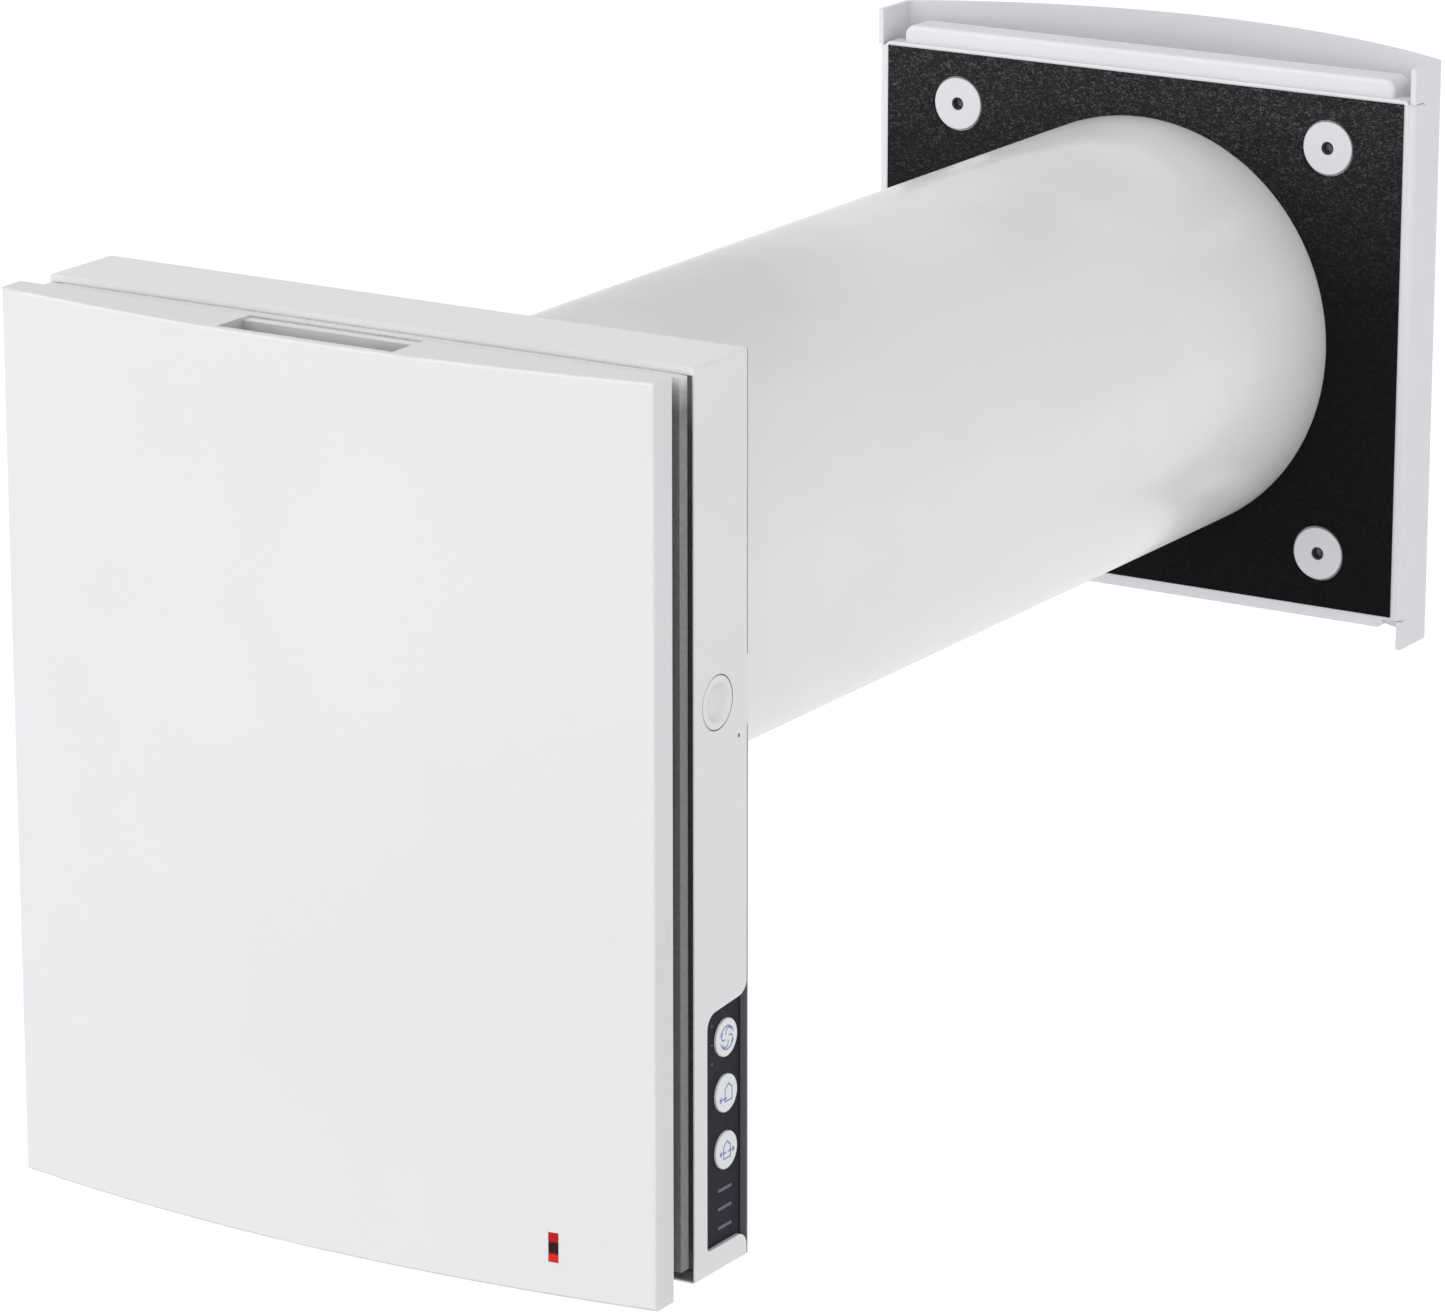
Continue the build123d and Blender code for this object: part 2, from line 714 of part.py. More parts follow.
shaft_r = 3.0
with BuildPart() as fan_motor:
    with BuildSketch(across(64)):
        Circle(21)
        Circle(shaft_r + 0.05, mode=Mode.SUBTRACT)
    extrude(amount=20)
fan_motor.part.label = "fan_motor"
export_step(fan_motor.part, "parts/fan_motor.step")

# Axial impeller: hub, shaft and pitched blades.
with BuildPart() as fan_impeller:
    with BuildSketch(across(86)):
        Circle(22)
    extrude(amount=21.4)
    nose = fan_impeller.edges().filter_by_position(Axis.Y, 85.9, 86.1)
    fillet(nose, radius=4)
    with BuildSketch(across(65)):
        Circle(shaft_r)
    extrude(amount=15)
    for i in range(blade_count):
        with Locations(Rot(0, 360 / blade_count * i, 0) * Pos(45.5, 75.5, 0) * Rot(52, 0, 0)):
            Box(51, 1.8, 26)
fan_impeller.part.label = "fan_impeller"
export_step(fan_impeller.part, "parts/fan_impeller.step")

# Ceramic heat store with straight square channels.
core_r = 74.2
cells = []
for i in range(-7, 8):
    for j in range(-7, 8):
        if hypot(abs(i) * cell_pitch + cell_hole / 2, abs(j) * cell_pitch + cell_hole / 2) < core_r - 1.5:
            cells.append((i * cell_pitch, j * cell_pitch))
with BuildPart() as heat_store:
    with BuildSketch(across(core_end_y)):
        Circle(core_r)
        with Locations(*cells):
            Rectangle(cell_hole, cell_hole, mode=Mode.SUBTRACT)
    extrude(amount=core_end_y - core_start_y)
heat_store.part.label = "heat_store"
export_step(heat_store.part, "parts/heat_store.step")

# Foam sleeve that holds the heat store in the duct, with a stop ring on the fan side.
with BuildPart() as heat_store_sleeve:
    with BuildSketch(across(core_end_y + 4)):
        Circle(cartridge_r)
        Circle(core_r, mode=Mode.SUBTRACT)
    extrude(amount=core_end_y + 4 - fan_end_y)
    with BuildSketch(across(core_start_y)):
        Circle(core_r + 0.5)
        Circle(core_r - 3, mode=Mode.SUBTRACT)
    extrude(amount=core_start_y - fan_end_y)
heat_store_sleeve.part.label = "heat_store_sleeve"
export_step(heat_store_sleeve.part, "parts/heat_store_sleeve.step")

# =====================================================================
# Outdoor hood
# =====================================================================

# Foam gasket against the outdoor wall.
foam_mid_z = (foam_top + foam_bottom) / 2
foam_h = foam_top - foam_bottom
washer_step_y = wall_out_y + 1.2
washer_back_y = wall_out_y + 2.2
with BuildPart() as hood_gasket:
    with BuildSketch(across(foam_back_y)):
        with Locations((0, foam_mid_z)):
            RectangleRounded(2 * foam_half_w, foam_h, 1.2)
        Circle(duct_r, mode=Mode.SUBTRACT)
        with Locations(*spacer_spots):
            Circle(2.6, mode=Mode.SUBTRACT)
    extrude(amount=foam_back_y - wall_out_y)
    with BuildSketch(across(washer_back_y)):
        with Locations(*spacer_spots):
            Circle(spacer_r + 0.75)
    extrude(amount=4, mode=Mode.SUBTRACT)
hood_gasket.part.label = "hood_gasket"
export_step(hood_gasket.part, "parts/hood_gasket.step")

# Hard stepped washers for the wall screws, set flush into the face of the gasket.
with BuildPart() as hood_spacers:
    with BuildSketch(across(washer_back_y)):
        with Locations(*spacer_spots):
            Circle(spacer_r + 0.6)
    extrude(amount=washer_back_y - washer_step_y)
    with BuildSketch(across(washer_step_y)):
        with Locations(*spacer_spots):
            Circle(spacer_r)
    extrude(amount=washer_step_y - wall_out_y)
    rims = hood_spacers.edges().filter_by_position(Axis.Y, wall_out_y - 0.01, wall_out_y + 0.01)
    fillet(rims, radius=0.5)
    with BuildSketch(across(foam_back_y)):
        with Locations(*spacer_spots):
            Circle(2.5)
    extrude(amount=8, mode=Mode.SUBTRACT)
hood_spacers.part.label = "hood_spacers"
export_step(hood_spacers.part, "parts/hood_spacers.step")

# Hood base: tray for the gasket, duct socket, drip ribs, side beads and cover bosses.
base_mid_z = (base_top + base_bottom) / 2
base_h = base_top - base_bottom
rim_y = wall_out_y + 0.5
socket_r = 83.0


def cover_y(x):
    """Depth of the outside of the hood cover at x."""
    return arc_y(hood_half_w, hood_side_y, hood_crown_y, x)


def add_bead(sign):
    """Adds one side bead to the current block; it fills the cut in the side of the cover."""
    with Locations((sign * 112.2, 485.0, -2.0)):
        Box(3.6, 9.6, 196.0)


boss_end_y = cover_y(boss_x) - 5.2
with BuildPart() as right_bead:
    add_bead(1)
    fillet(right_bead.edges().filter_by(Axis.X).group_by(Axis.Y)[-1], radius=5)
    fillet(right_bead.edges().filter_by(Axis.Z).group_by(Axis.Y)[0].sort_by(Axis.X)[-1], radius=2.8)
with BuildPart() as left_bead:
    add_bead(-1)
    fillet(left_bead.edges().filter_by(Axis.X).group_by(Axis.Y)[-1], radius=5)
    fillet(left_bead.edges().filter_by(Axis.Z).group_by(Axis.Y)[0].sort_by(Axis.X)[0], radius=2.8)
with BuildPart() as top_rib:
    with Locations((0, 488.5, 100.0)):
        Box(207.6, 13, 8)
    fillet(top_rib.edges().filter_by(Axis.Y).group_by(Axis.Z)[-1], radius=4)
    fillet(top_rib.faces().sort_by(Axis.Y)[0].edges().group_by(Axis.Z)[1:], radius=1.6)
with BuildPart() as bottom_rib:
    with Locations((0, 486.5, -101.4)):
        Box(212, 13, 4)
    fillet(bottom_rib.edges().filter_by(Axis.Y).group_by(Axis.Z)[0], radius=2.4)

with BuildPart() as hood_base:
    with BuildSketch(across(base_back_y)):
        with Locations((0, base_mid_z)):
            RectangleRounded(2 * base_half_w, base_h, 2.2)
    extrude(amount=base_back_y - rim_y)
    lips = hood_base.edges().filter_by_position(Axis.Y, rim_y - 0.01, rim_y + 0.01)
    fillet(lips, radius=0.7)
    for piece in (right_bead, left_bead, top_rib, bottom_rib):
        add(piece.part)
    with BuildSketch(across(foam_back_y)):
        with Locations((0, foam_mid_z)):
            RectangleRounded(2 * foam_half_w, foam_h, 1.2)
    extrude(amount=8, mode=Mode.SUBTRACT)
    with BuildSketch(across(500)):
        Circle(socket_r)
    extrude(amount=500 - foam_back_y)
    with BuildSketch(across(boss_end_y)):
        with Locations(*boss_spots):
            Circle(5)
    extrude(amount=boss_end_y - base_back_y + 1)
    with BuildSketch(across(510)):
        Circle(duct_r)
    extrude(amount=40, mode=Mode.SUBTRACT)
    with BuildSketch(across(base_back_y + 1)):
        with Locations(*spacer_spots):
            Circle(2.5)
    extrude(amount=8, mode=Mode.SUBTRACT)
    with BuildSketch(across(boss_end_y)):
        with Locations(*boss_spots):
            Circle(1.5)
    extrude(amount=14, mode=Mode.SUBTRACT)
hood_base.part.label = "hood_base"
export_step(hood_base.part, "parts/hood_base.step")


def cover_outline(inset):
    """Plan outline of the cover drawn in X and Y, open to the wall side."""
    half = hood_half_w - inset
    side_y = cover_y(half) - inset
    Polyline((-half, side_y), (-half, rim_y), (half, rim_y), (half, side_y))
    ThreePointArc((half, side_y), (0, hood_crown_y - inset), (-half, side_y))


# Inside of the cover, with four pillars left standing where the screw pads go.
with BuildPart() as cover_hollow:
    with BuildSketch(Plane.XY.offset(hood_bottom - 1)):
        with BuildLine():
            cover_outline(hood_wall)
        make_face()
    extrude(amount=hood_top - hood_bottom + 2)
    with BuildSketch(across(hood_crown_y)):
        with Locations(*boss_spots):
            Circle(6)
    extrude(amount=hood_crown_y - boss_end_y, mode=Mode.SUBTRACT)

# Cut in both sides of the cover for the beads of the base.
with BuildPart() as side_cut:
    with Locations((0, 480, -2.0)):
        Box(2 * hood_half_w + 2, 20, 196.4)
    fillet(side_cut.edges().filter_by(Axis.X).group_by(Axis.Y)[-1], radius=5)

# Hood cover: bent shell, open at the top and the bottom, with counterbored screw holes.
with BuildPart() as hood_cover:
    with BuildSketch(Plane.XY.offset(hood_bottom)):
        with BuildLine():
            cover_outline(0)
        make_face()
    extrude(amount=hood_top - hood_bottom)
    bends = hood_cover.edges().filter_by(Axis.Z).sort_by(Axis.Y)[-2:]
    fillet(bends, radius=1.4)
    add(cover_hollow.part, mode=Mode.SUBTRACT)
    add(side_cut.part, mode=Mode.SUBTRACT)
    with BuildSketch(across(hood_crown_y + 5)):
        with Locations(*boss_spots):
            Circle(4.0)
    extrude(amount=hood_crown_y + 5 - boss_end_y - 2.2, mode=Mode.SUBTRACT)
    with BuildSketch(across(boss_end_y + 4)):
        with Locations(*boss_spots):
            Circle(1.9)
    extrude(amount=6, mode=Mode.SUBTRACT)
hood_cover.part.label = "hood_cover"
export_step(hood_cover.part, "parts/hood_cover.step")

# Screws that hold the cover on the bosses.
with BuildPart() as cover_screws:
    with BuildSketch(across(boss_end_y + 4.4)):
        with Locations(*boss_spots):
            Circle(3.7)
    extrude(amount=2.2)
    with BuildSketch(across(boss_end_y + 2.2)):
        with Locations(*boss_spots):
            Circle(1.45)
    extrude(amount=13)
    with BuildSketch(across(boss_end_y + 4.4)):
        with Locations(*boss_spots):
            Rectangle(5, 0.9)
            Rectangle(0.9, 5)
    extrude(amount=1.2, mode=Mode.SUBTRACT)
cover_screws.part.label = "cover_screws"
export_step(cover_screws.part, "parts/cover_screws.step")

# Insect screen across the outdoor end of the duct.
screen_r = duct_r - 0.2
with BuildPart() as insect_screen:
    with BuildSketch(across(500)):
        Circle(screen_r)
        Circle(screen_r - 5, mode=Mode.SUBTRACT)
    extrude(amount=2.6)
    for i in range(-6, 7):
        offset = 11.0 * i
        half = sqrt((screen_r - 3) ** 2 - offset ** 2)
        with Locations((offset, 499.4, 0)):
            Box(1.2, 1.2, 2 * half)
        with Locations((0, 498.2, offset)):
            Box(2 * half, 1.2, 1.2)
insect_screen.part.label = "insect_screen"
export_step(insect_screen.part, "parts/insect_screen.step")
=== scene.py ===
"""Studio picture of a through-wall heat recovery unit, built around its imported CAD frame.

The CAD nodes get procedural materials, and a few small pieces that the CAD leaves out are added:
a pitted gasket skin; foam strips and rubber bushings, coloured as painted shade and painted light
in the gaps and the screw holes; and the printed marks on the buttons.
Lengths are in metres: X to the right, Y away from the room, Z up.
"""

import math

import bmesh
import bpy
import numpy as np
from mathutils import Matrix, Vector, noise


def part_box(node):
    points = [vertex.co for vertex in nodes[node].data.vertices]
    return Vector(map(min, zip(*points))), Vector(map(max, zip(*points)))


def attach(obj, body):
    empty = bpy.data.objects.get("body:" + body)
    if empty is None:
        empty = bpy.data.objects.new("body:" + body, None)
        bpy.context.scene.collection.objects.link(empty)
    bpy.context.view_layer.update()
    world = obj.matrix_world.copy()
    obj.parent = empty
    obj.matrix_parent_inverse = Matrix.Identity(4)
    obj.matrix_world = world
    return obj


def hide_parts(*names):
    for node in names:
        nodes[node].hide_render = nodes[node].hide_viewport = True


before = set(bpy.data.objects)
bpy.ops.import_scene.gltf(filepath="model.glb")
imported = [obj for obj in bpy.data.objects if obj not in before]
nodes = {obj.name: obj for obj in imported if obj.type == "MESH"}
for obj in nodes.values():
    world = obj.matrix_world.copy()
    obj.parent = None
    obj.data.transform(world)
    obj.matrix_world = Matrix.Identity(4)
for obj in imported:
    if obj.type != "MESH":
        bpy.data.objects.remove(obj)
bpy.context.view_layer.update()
scene = bpy.context.scene

MM = 0.001

# ------------------------------------------------------------------ camera
AZIMUTH = math.radians(31.70)
ELEVATION = math.radians(16.08)
CAMERA_PLACE = (1.19708, -1.75642, 0.59913)
SENSOR_WIDTH = 36.0
LENS = 171.3052


def add_camera():
    """A camera without roll or shift, turned by AZIMUTH and looking down by ELEVATION."""
    level = math.cos(ELEVATION)
    back = Vector((math.sin(AZIMUTH) * level, -math.cos(AZIMUTH) * level, math.sin(ELEVATION)))
    right = Vector((math.cos(AZIMUTH), math.sin(AZIMUTH), 0.0))
    up = back.cross(right)
    data = bpy.data.cameras.new("camera")
    data.sensor_width = SENSOR_WIDTH
    data.lens = LENS
    data.clip_start = 0.05
    data.clip_end = 60.0
    camera = bpy.data.objects.new("camera", data)
    scene.collection.objects.link(camera)
    rows = [(right[i], up[i], back[i], CAMERA_PLACE[i]) for i in range(3)]
    camera.matrix_world = Matrix((*rows, (0, 0, 0, 1)))
    return camera


scene.camera = add_camera()
scene.view_settings.view_transform = "Standard"
scene.view_settings.look = "None"

# ------------------------------------------------------------------ light
SURROUND_LEVEL = 1.08
SURROUND_LEAN = (-0.17, -0.50, -0.34)  # strength added along X, Y and Z


def white_surround():
    """A white cyclorama: light from all round, stronger from the left, the front and below."""
    world = bpy.data.worlds.new("studio")
    scene.world = world
    world.use_nodes = True
    tree = world.node_tree
    tree.nodes.clear()
    output = tree.nodes.new("ShaderNodeOutputWorld")
    background = tree.nodes.new("ShaderNodeBackground")
    background.inputs["Color"].default_value = (1.0, 1.0, 1.0, 1.0)
    coord = tree.nodes.new("ShaderNodeTexCoord")
    lean = tree.nodes.new("ShaderNodeVectorMath")
    lean.operation = "DOT_PRODUCT"
    lean.inputs[1].default_value = SURROUND_LEAN
    level = tree.nodes.new("ShaderNodeMath")
    level.operation = "ADD"
    level.inputs[1].default_value = SURROUND_LEVEL
    tree.links.new(coord.outputs["Generated"], lean.inputs[0])
    tree.links.new(lean.outputs["Value"], level.inputs[0])
    tree.links.new(level.outputs[0], background.inputs["Strength"])
    tree.links.new(background.outputs[0], output.inputs[0])


def area_light(name, place, target, size_x, size_y, power):
    data = bpy.data.lights.new(name, "AREA")
    data.shape = "RECTANGLE"
    data.size = size_x
    data.size_y = size_y
    data.energy = power
    lamp = bpy.data.objects.new(name, data)
    scene.collection.objects.link(lamp)
    lamp.location = place
    aim = (Vector(target) - Vector(place)).to_track_quat("-Z", "Y")
    lamp.rotation_euler = aim.to_euler()


white_surround()
area_light("front_soft", (-1.4, -3.4, 1.2), (0, 0.1, 0), 2.2, 2.0, power=7)
area_light("side_soft", (3.2, 0.9, 0.7), (0, 0.3, 0), 1.2, 1.6, power=3)


# ------------------------------------------------------------------ colours
def srgb(r, g, b):
    """Linear colour from 0-255 display values."""
    out = []
    for v in (r, g, b):
        v = v / 255.0
        out.append(v / 12.92 if v <= 0.04045 else ((v + 0.055) / 1.055) ** 2.4)
    return tuple(out)


def grey(value):
    """Linear neutral colour."""
    return (value, value, value)


def scaled(tone, factor):
    return tuple(c * factor for c in tone)


def with_alpha(tone):
    return (*tone, 1.0)


# ------------------------------------------------------------------ material helpers
class Mat:
    """A node material with short calls for the usual procedural parts."""

    def __init__(self, name):
        self.mat = bpy.data.materials.new(name)
        self.mat.use_nodes = True
        self.tree = self.mat.node_tree
        self.tree.nodes.clear()
        out = self.node("ShaderNodeOutputMaterial")
        self.bsdf = self.node("ShaderNodeBsdfPrincipled")
        self.link(self.bsdf.outputs[0], out.inputs["Surface"])
        self.coord = self.node("ShaderNodeTexCoord").outputs["Object"]

    def node(self, kind, **props):
        n = self.tree.nodes.new(kind)
        for key, value in props.items():
            setattr(n, key, value)
        return n

    def link(self, source, socket):
        self.tree.links.new(source, socket)

    def feed(self, value, socket):
        """Sets the socket to a number or a colour, or links it to another socket."""
        if isinstance(value, (int, float)):
            socket.default_value = value
        elif isinstance(value, tuple):
            socket.default_value = with_alpha(value)
        else:
            self.link(value, socket)

    def set(self, **values):
        for key, value in values.items():
            self.bsdf.inputs[key.replace("_", " ")].default_value = value

    def stretch(self, scale):
        m = self.node("ShaderNodeMapping")
        m.inputs["Scale"].default_value = scale
        self.link(self.coord, m.inputs["Vector"])
        return m.outputs[0]

    def noise(self, scale, detail=3.0, rough=0.55, vector=None, distortion=0.0):
        n = self.node("ShaderNodeTexNoise")
        n.inputs["Scale"].default_value = scale
        n.inputs["Detail"].default_value = detail
        n.inputs["Roughness"].default_value = rough
        n.inputs["Distortion"].default_value = distortion
        self.link(vector or self.coord, n.inputs["Vector"])
        return n.outputs["Fac"]

    def voronoi(self, scale, feature="F1", randomness=1.0):
        n = self.node("ShaderNodeTexVoronoi", feature=feature)
        n.inputs["Scale"].default_value = scale
        n.inputs["Randomness"].default_value = randomness
        self.link(self.coord, n.inputs["Vector"])
        return n.outputs["Distance"]

    def ramp(self, value, stops):
        """Colour ramp through (position, colour) stops."""
        r = self.node("ShaderNodeValToRGB")
        e = r.color_ramp.elements
        e[0].position, e[0].color = stops[0][0], with_alpha(stops[0][1])
        e[1].position, e[1].color = stops[-1][0], with_alpha(stops[-1][1])
        for position, tone in stops[1:-1]:
            e.new(position).color = with_alpha(tone)
        self.link(value, r.inputs["Fac"])
        return r.outputs["Color"]

    def remap(self, value, low, high, from_low=0.0, from_high=1.0):
        m = self.node("ShaderNodeMapRange")
        m.inputs["From Min"].default_value = from_low
        m.inputs["From Max"].default_value = from_high
        m.inputs["To Min"].default_value = low
        m.inputs["To Max"].default_value = high
        self.link(value, m.inputs["Value"])
        return m.outputs["Result"]

    def math(self, kind, a, b):
        m = self.node("ShaderNodeMath", operation=kind)
        self.feed(a, m.inputs[0])
        self.feed(b, m.inputs[1])
        return m.outputs[0]

    def mix(self, factor, a, b, blend="MIX"):
        m = self.node("ShaderNodeMix", data_type="RGBA", blend_type=blend)
        self.feed(factor, m.inputs["Factor"])
        self.feed(a, m.inputs["A"])
        self.feed(b, m.inputs["B"])
        return m.outputs["Result"]

    def bump(self, height, strength, distance, before=None):
        b = self.node("ShaderNodeBump")
        b.inputs["Strength"].default_value = strength
        b.inputs["Distance"].default_value = distance
        self.link(height, b.inputs["Height"])
        if before is not None:
            self.link(before, b.inputs["Normal"])
        self.link(b.outputs[0], self.bsdf.inputs["Normal"])
        return b.outputs[0]

    def base(self, tone):
        self.link(tone, self.bsdf.inputs["Base Color"])

    def gloss(self, pattern, low, high, from_low=0.3, from_high=0.7):
        """Uneven roughness between low and high, by a noise pattern."""
        rough = self.remap(pattern, low, high, from_low, from_high)
        self.link(rough, self.bsdf.inputs["Roughness"])

    def cavity(self, reach, tone, dark, low, high):
        """Painted shade in corners, from ambient occlusion: tone in the open, dark in tight
        corners.
        """
        ao = self.node("ShaderNodeAmbientOcclusion", samples=6)
        ao.inputs["Distance"].default_value = reach
        return self.mix(self.remap(ao.outputs["AO"], 0.0, 1.0, low, high), dark, tone)

    def height(self):
        split = self.node("ShaderNodeSeparateXYZ")
        self.link(self.coord, split.inputs[0])
        return split.outputs["Z"]

    def height_fade(self, stops):
        """Colour by height: (z in metres, colour) stops from the bottom to the top."""
        low, high = stops[0][0], stops[-1][0]
        level = self.remap(self.height(), 0.0, 1.0, low, high)
        return self.ramp(level, [((z - low) / (high - low), tone) for z, tone in stops])


# ------------------------------------------------------------------ kinds of material
def moulded(
    name,
    tone,
    rough,
    grain=2600.0,
    grain_depth=0.00002,
    coat=0.0,
    reach=0.004,
    painted_shade=0.86,
    dark_to=0.25,
    open_from=0.85,
    wavy=0.12,
    fade=None,
):
    """Injection-moulded plastic: faint tone drift, fine spark-eroded grain, uneven gloss.

    Corners closer than reach get painted shade, their tone multiplied down toward the given shade
    factor; fade gives the tone by height.
    """
    m = Mat(name)
    drift = m.remap(m.noise(9.0, 2.0), 0.0, 1.0, 0.35, 0.65)
    fine = m.remap(m.noise(700.0, 3.0), 0.0, 0.10, 0.3, 0.7)
    before_corner_shade = m.mix(drift, scaled(tone, 0.975), m.height_fade(fade) if fade else tone)
    before_corner_shade = m.mix(fine, before_corner_shade, scaled(tone, 0.93))
    m.base(m.cavity(reach, before_corner_shade, scaled(tone, painted_shade), dark_to, open_from))
    m.gloss(m.noise(55.0, 4.0), rough - 0.04, rough + 0.06)
    normal = m.bump(m.noise(grain, 2.0, 0.6), 0.35, grain_depth)
    if wavy:
        m.bump(m.noise(34.0, 1.0), wavy, 0.0004, before=normal)
    m.set(IOR=1.49)
    if coat:
        m.set(Coat_Weight=coat, Coat_Roughness=0.12)
    return m.mat


def foam(name, shade, cell, depth, rough=0.5, shine=0.5, painted_glint=0.0, ior=1.5):
    """Closed-cell foam skin: pitted cells, broken highlights, and pale worm-like flecks that are
    painted highlights, strongest toward the top.

    shade is one tone, or a list of (height, tone) stops.
    """
    m = Mat(name)
    cells = m.voronoi(cell, "SMOOTH_F1")
    lumps = m.noise(cell * 0.45, 4.0, 0.6)
    longer = m.stretch((1.0, 1.0, 1.7))
    worms = m.noise(cell * 0.95, 2.0, 0.5, vector=longer, distortion=1.6)
    speckle = [(0.35, grey(0.7)), (0.6, grey(0.9)), (0.75, grey(1.0))]
    specks = m.ramp(m.noise(cell * 1.7, 3.0), speckle)
    tone = m.height_fade(shade) if isinstance(shade, list) else shade
    tone = m.mix(1.0, specks, tone, "MULTIPLY")
    # Painted highlights: pale worm-shaped flecks, stronger toward the top where the light falls
    # from above.
    glints = [(0.50, grey(1.0)), (0.58, grey(1.0 + painted_glint)), (0.66, grey(1.0 + 2.6 * painted_glint))]
    glints_toward_top = m.remap(m.height(), 0.15, 1.0, 0.0, 0.085)
    m.base(m.mix(glints_toward_top, tone, m.ramp(worms, glints), "MULTIPLY"))
    m.gloss(m.noise(cell * 0.8, 2.0), rough - 0.12, rough + 0.15)
    relief = m.math("ADD", cells, m.math("MULTIPLY", lumps, 1.4))
    m.bump(m.math("ADD", relief, worms), 0.7, depth)
    m.set(Specular_IOR_Level=shine, IOR=ior)
    return m.mat


def metal(name, tone, rough):
    """Plated or turned metal with fine tool lines and cloudy roughness."""
    m = Mat(name)
    cloud = m.remap(m.noise(160.0, 4.0), 0.0, 1.0, 0.3, 0.7)
    m.base(m.mix(cloud, scaled(tone, 0.9), tone))
    m.gloss(m.noise(320.0, 3.0), rough - 0.06, rough + 0.1)
    m.bump(m.noise(2200.0, 2.0, 0.6, vector=m.stretch((1.0, 0.05, 1.0))), 0.3, 0.00002)
    m.set(Metallic=1.0)
    return m.mat


def shutter_skin(fade):
    """Grey moulded board, paler toward its top edge: painted light falling in from above."""
    m = Mat("shutter_plastic")
    speckle = [(0.35, grey(1.0)), (0.55, grey(0.86)), (0.7, grey(0.72))]
    grain = m.ramp(m.noise(850.0, 4.0, 0.65), speckle)
    m.base(m.mix(0.8, m.height_fade(fade), grain, "MULTIPLY"))
    m.gloss(m.noise(300.0, 3.0), 0.5, 0.68)
    m.bump(m.noise(1400.0, 3.0), 0.5, 0.00008)
    m.set(Specular_IOR_Level=0.35)
    return m.mat


def fleece(tone):
    """Filter fleece: tangled fibres from stretched noise in two directions."""
    m = Mat("filter_fleece")
    upright = m.noise(900.0, 4.0, 0.6, vector=m.stretch((1.0, 1.0, 0.12)), distortion=1.5)
    level = m.noise(900.0, 4.0, 0.6, vector=m.stretch((0.12, 1.0, 1.0)), distortion=1.5)
    tangle = m.math("MAXIMUM", upright, level)
    m.base(m.ramp(tangle, [(0.4, scaled(tone, 0.6)), (0.6, tone), (0.75, (0.9, 0.9, 0.88))]))
    m.bump(tangle, 0.9, 0.0006)
    m.set(Roughness=0.95, Sheen_Weight=0.3, Sheen_Roughness=0.5)
    return m.mat


def solder_mask(tone, pad_tone):
    """Circuit board: solder mask with tracks between fields, and scattered pads."""
    m = Mat("solder_mask")
    fields = m.node("ShaderNodeTexBrick")
    fields.inputs["Scale"].default_value = 160.0
    fields.inputs["Mortar Size"].default_value = 0.06
    fields.inputs["Color1"].default_value = with_alpha(tone)
    fields.inputs["Color2"].default_value = with_alpha(scaled(tone, 0.8))
    tracks = tuple(min(1, c * 1.9 + 0.01) for c in tone)
    fields.inputs["Mortar"].default_value = with_alpha(tracks)
    turn = m.node("ShaderNodeMapping")
    turn.inputs["Rotation"].default_value = (math.radians(90), 0, math.radians(45))
    m.link(m.coord, turn.inputs["Vector"])
    m.link(turn.outputs[0], fields.inputs["Vector"])
    dots = m.ramp(m.voronoi(420.0, randomness=0.35), [(0.16, grey(1.0)), (0.2, grey(0.0))])
    pads = m.math("MULTIPLY", dots, m.remap(m.noise(70.0), 0, 1, 0.45, 0.55))
    m.base(m.mix(pads, fields.outputs["Color"], pad_tone))
    m.bump(fields.outputs["Fac"], 0.4, 0.00005)
    m.set(Roughness=0.3, Coat_Weight=0.3)
    return m.mat


def overlay_film():
    """Dark blue printed film over the controls."""
    m = Mat("overlay_film")
    speckle = [(0.4, srgb(20, 17, 34)), (0.6, srgb(24, 21, 40)), (0.8, srgb(34, 31, 52))]
    m.base(m.ramp(m.noise(1800.0, 2.0), speckle))
    m.gloss(m.noise(300.0), 0.34, 0.46)
    m.bump(m.noise(3200.0, 2.0), 0.25, 0.00002)
    m.set(Specular_IOR_Level=0.12)
    return m.mat


def light_pipe():
    """Unlit milky light guide."""
    m = Mat("light_pipe")
    haze = m.noise(1200.0, 2.0)
    m.base(m.mix(haze, srgb(84, 84, 98), srgb(112, 112, 126)))
    m.gloss(m.noise(600.0), 0.4, 0.6, 0.0, 1.0)
    m.bump(haze, 0.2, 0.00003)
    m.set(Subsurface_Weight=0.2, Subsurface_Scale=0.001)
    return m.mat


def red_window():
    """Clear red lens over a dark receiver: black shows through its middle third."""
    m = Mat("red_window")
    lo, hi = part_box("indicator_window")
    tall = hi.z - lo.z
    bright, deep, black = srgb(232, 34, 26), srgb(196, 22, 26), srgb(34, 12, 14)
    lower_part = [(0.0, deep), (0.06, bright), (0.30, bright)]
    middle = [(0.36, black), (0.60, black)]
    upper_part = [(0.68, deep), (0.90, deep), (1.0, bright)]
    stops = lower_part + middle + upper_part
    tone = m.height_fade([(lo.z + share * tall, part_tone) for share, part_tone in stops])
    haze = m.noise(700.0, 2.0)
    m.base(m.mix(m.remap(haze, 0.0, 0.25, 0.3, 0.7), tone, srgb(120, 16, 16)))
    m.gloss(m.noise(900.0), 0.14, 0.24, 0.0, 1.0)
    m.bump(haze, 0.1, 0.0001)
    m.set(Specular_IOR_Level=0.2)
    return m.mat


